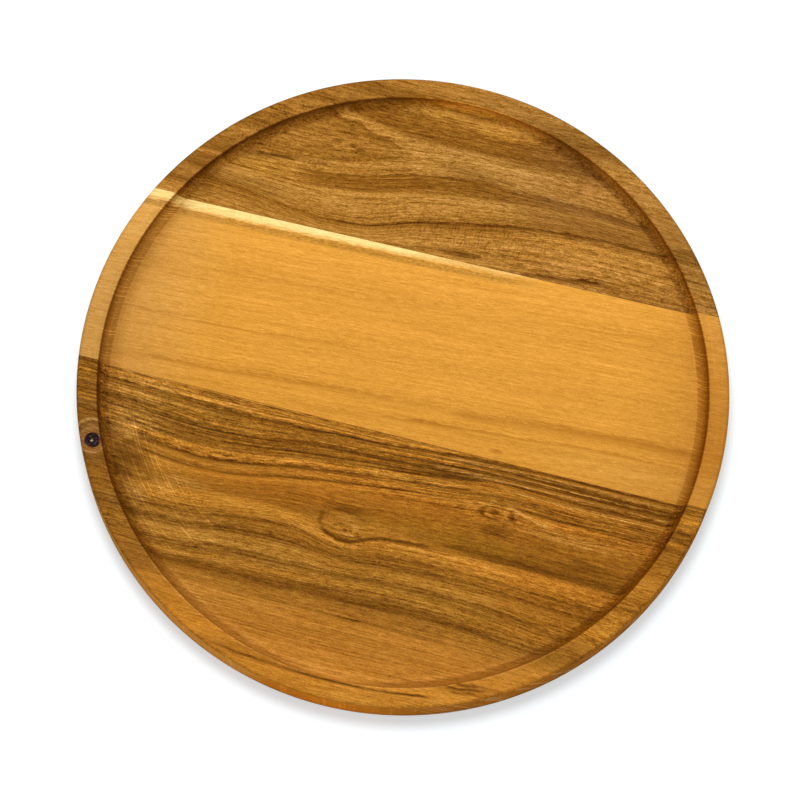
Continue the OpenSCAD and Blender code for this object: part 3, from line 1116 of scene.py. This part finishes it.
def knot_socket():
    """Cutter for the socket: the knot's own outline with a bark-wide gap, run on above the rim."""
    shape = bmesh.new()
    run_on = 0.004
    rings = []
    for height in (0.0, knot_depth + run_on):
        level = board_thickness - knot_depth + height
        rings.append([shape.verts.new((px, py, level)) for px, py in knot_ring(height, knot_gap)])
    foot, top = rings
    shape.faces.new(foot[::-1])
    shape.faces.new(top)
    walled(shape, foot, top)
    return placed("knot_socket", as_mesh(shape, "knot_socket"))


socket_cutter = knot_socket()
boring = lower_stave.modifiers.new("boring", "BOOLEAN")
boring.object = socket_cutter
boring.operation = "DIFFERENCE"
boring.solver = "EXACT"
depsgraph = bpy.context.evaluated_depsgraph_get()
bored = bpy.data.meshes.new_from_object(lower_stave.evaluated_get(depsgraph))
lower_stave.modifiers.clear()
lower_stave.data = bored
# Many-sided faces beside the socket become well-shaped triangles
trimmed = bmesh.new()
trimmed.from_mesh(bored)
many_sided = [face for face in trimmed.faces if len(face.verts) > 4]
bmesh.ops.triangulate(trimmed, faces=many_sided, ngon_method="BEAUTY")
bmesh.ops.dissolve_degenerate(trimmed, dist=touching, edges=trimmed.edges[:])
trimmed.to_mesh(bored)
trimmed.free()
bored.set_sharp_from_angle(angle=sharp_turn)
bpy.data.objects.remove(socket_cutter)
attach(lower_stave, "root")
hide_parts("lower_stave")


# Glue lines
# Films of cured wood glue squeezed out of the two seams and sanded flush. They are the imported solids
# with a matte brown finish, darker where dust has caught in it.

dark_glue = tone(108, 70, 26)
pale_glue = tone(150, 100, 42)


def cured_glue():
    """Matte brown glue, uneven along the seam."""
    material, place = wood_bench("cured_glue")[:2]
    fibre = streaks(place, length=6.0, width=0.8, shift=41.0)
    colour = mixed(dark_glue, pale_glue, fibre)
    oiled(material, colour, 0.55 + 0.2 * fibre, fibre)
    return material


glue_finish = cured_glue()
for glue_node in ("upper_glue_line", "lower_glue_line"):
    glue_film = frame["nodes"][glue_node]
    glue_film.data.materials.clear()
    glue_film.data.materials.append(glue_finish)


# Rim knot
# The stub of a dead branch, nearly black, grown into the plank and cut through when the rim was turned.
# It sits loose in its bark ring, a little below the rim, with a drying check across it.

knot_drop = 0.0002
knot_crown = 0.00012
check_depth = 0.0004
check_angle = 0.7
check_sharpness = 7.0
knot_black = tone(24, 14, 16)
knot_brown = tone(54, 36, 36)
knot_grey = tone(122, 88, 88)
bark_brown = tone(110, 70, 50)
# Pale tone of a painted glint on the knot
painted_glint_tone = tone(196, 180, 146)


def knot_mesh():
    """The tapered stub, with a top that is crowned a little and sinks in along the check."""
    shape = bmesh.new()
    levels = []
    for share in (0.0, 0.5, 1.0):
        height = share * (knot_depth - knot_drop)
        level = board_thickness - knot_depth + height
        levels.append([shape.verts.new((px, py, level)) for px, py in knot_ring(height, 0.0)])
    shape.faces.new(levels[0][::-1])
    for low, high in zip(levels, levels[1:]):
        walled(shape, low, high)
    top = levels[-1]
    middle = Vector((knot_place.x, knot_place.y, top[0].co.z))
    outer = top
    for share in (0.93, 0.75, 0.55, 0.35, 0.15):
        inner = []
        for point in top:
            out = point.co - middle
            turn = math.atan2(out.y, out.x)
            check = math.exp(-((math.sin(turn - check_angle) * share * check_sharpness) ** 2))
            lift = knot_crown * (1 - share) - check_depth * check * (1 - share * share)
            inner.append(shape.verts.new(middle + out * share + Vector((0.0, 0.0, lift))))
        walled(shape, outer, inner)
        outer = inner
    shape.faces.new(outer)
    bmesh.ops.recalc_face_normals(shape, faces=shape.faces[:])
    mesh = as_mesh(shape, "rim_knot_wood")
    mesh.shade_smooth()
    mesh.set_sharp_from_angle(angle=math.radians(50))
    return mesh


def dead_knot():
    """Nearly black wood with grey rings, brown bark at its edge and a painted glint, a pale spot standing
    in for a highlight on it.
    """
    material, place, x, y = wood_bench("dead_knot")[:4]
    knot_x, knot_y, from_pith = from_knot(x, y)
    mottle = streaks(place, length=1.2, width=1.2, shift=3.0, detail=3.0)
    rings = place.maths("SINE", from_pith * 4.0 + 9.0 * mottle)
    colour = mixed(knot_black, knot_brown, mottle.ramped(0.42, 0.62))
    colour = mixed(colour, knot_grey, 0.45 * rings.ramped(0.6, 1.0) * mottle.ramped(0.44, 0.58))
    colour = mixed(colour, bark_brown, 0.5 * (from_pith + 2.4 * (mottle - 0.5)).ramped(3.5, 4.1))
    # A painted glint beside the pith: a pale spot drawn out along the board's radius, in place of a
    # highlight
    cos, sin = math.cos(knot_angle), math.sin(knot_angle)
    outward = cos * knot_x + sin * knot_y
    sideways = cos * knot_y - sin * knot_x
    glint_share = patch(outward, sideways + 1.2 * (mottle - 0.5), (0.3, 0.2), 1.0, 0.6)
    colour = mixed(colour, painted_glint_tone, 0.8 * glint_share.ramped(0.15, 0.8))
    oiled(material, colour, 0.3 + 0.3 * mottle, mottle)
    return material


rim_knot = placed("rim_knot_wood", knot_mesh())
rim_knot.data.materials.append(dead_knot())
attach(rim_knot, "root")
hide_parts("rim_knot")


# Table, light and camera
# A plain white table, one wide soft lamp from the upper left and an even white surround. The camera
# looks down on the board from far off, a little from its lower edge.

def white_table():
    """White to the camera and in reflections, with the shadow kept, and plain to all other light."""
    material, bench = blank_material("white_table")
    seen = bench.node("ShaderNodeLightPath", {}, {}, "Is Camera Ray")
    for ray in ("Is Glossy Ray", "Is Transmission Ray"):
        seen = seen.most(bench.node("ShaderNodeLightPath", {}, {}, ray))
    plain = bench.node("ShaderNodeBsdfDiffuse", {}, {"Color": (0.8, 0.8, 0.8, 1.0)})
    lit = bench.node("ShaderNodeBsdfDiffuse", {}, {"Color": (0.60, 0.63, 0.65, 1.0)})
    glow = bench.node("ShaderNodeEmission", {}, {"Color": (0.455, 0.48, 0.49, 1.0), "Strength": 1.0})
    shown = bench.node("ShaderNodeAddShader", {}, {0: lit, 1: glow})
    surface = bench.node("ShaderNodeMixShader", {}, {0: seen, 1: plain, 2: shown})
    bench.node("ShaderNodeOutputMaterial", {}, {"Surface": surface})
    return material


table_half = 2.5
table_gap = 0.0002
table_mesh = bpy.data.meshes.new("table_top")
table_corners = [(-1, -1), (1, -1), (1, 1), (-1, 1)]
table_points = [(px * table_half, py * table_half, -table_gap) for px, py in table_corners]
table_mesh.from_pydata(table_points, [], [(0, 1, 2, 3)])
table_top = placed("table_top", table_mesh)
table_top.data.materials.append(white_table())

surround = bpy.data.worlds.new("surround")
bpy.context.scene.world = surround
surround.use_nodes = True
surround.node_tree.nodes.clear()
sky = Grain(surround.node_tree)
sky_seen = sky.node("ShaderNodeLightPath", {}, {}, "Is Camera Ray")
sky_light = sky.node("ShaderNodeBackground", {}, {"Color": (1.0, 1.0, 1.0, 1.0), "Strength": 0.42})
sky_white = sky.node("ShaderNodeBackground", {}, {"Color": (1.0, 1.0, 1.0, 1.0), "Strength": 1.0})
sky_mix = sky.node("ShaderNodeMixShader", {}, {0: sky_seen, 1: sky_light, 2: sky_white})
sky.node("ShaderNodeOutputWorld", {}, {"Surface": sky_mix})

lamp_height = math.radians(78)
lamp_side = Vector((-0.37, 0.93, 0.0)).normalized()
lamp_away = 1.6
lamp_data = bpy.data.lights.new("soft_lamp", "AREA")
lamp_data.shape = "DISK"
lamp_data.size = 0.55
lamp_data.energy = 15.5
lamp = placed("soft_lamp", lamp_data)
lamp_from = lamp_side * math.cos(lamp_height) + Vector((0.0, 0.0, math.sin(lamp_height)))
lamp.location = lamp_from * lamp_away
lamp.rotation_mode = "QUATERNION"
lamp.rotation_quaternion = lamp_from.to_track_quat("Z", "Y")

camera_side = math.radians(9.375)
camera_height = math.radians(74.472)
camera_roll = math.radians(4.361)
camera_away = 2.0
# The picture's side and the place of the board's centre in it, in pixels
picture_side = 800
board_centre_seen = (403.48, 386.38)
pixels_per_length = 3960.3
back = Vector((
    math.sin(camera_side) * math.cos(camera_height),
    -math.cos(camera_side) * math.cos(camera_height),
    math.sin(camera_height),
))
level = Vector((math.cos(camera_side), math.sin(camera_side), 0.0))
upright = back.cross(level)
right = level * math.cos(camera_roll) + upright * math.sin(camera_roll)
up = upright * math.cos(camera_roll) - level * math.sin(camera_roll)
stand = Vector((0.0, 0.0, board_thickness)) + back * camera_away
camera_data = bpy.data.cameras.new("camera")
camera_data.sensor_width = 36.0
camera_data.lens = camera_data.sensor_width * pixels_per_length / picture_side
camera_data.shift_x = (picture_side / 2 - board_centre_seen[0]) / picture_side
camera_data.shift_y = (board_centre_seen[1] - picture_side / 2) / picture_side
camera_data.clip_end = 20.0
camera = placed("camera", camera_data)
camera.matrix_world = Matrix((
    (right.x, up.x, back.x, stand.x),
    (right.y, up.y, back.y, stand.y),
    (right.z, up.z, back.z, stand.z),
    (0.0, 0.0, 0.0, 1.0),
))
bpy.context.scene.camera = camera
bpy.context.scene.view_settings.view_transform = "Standard"
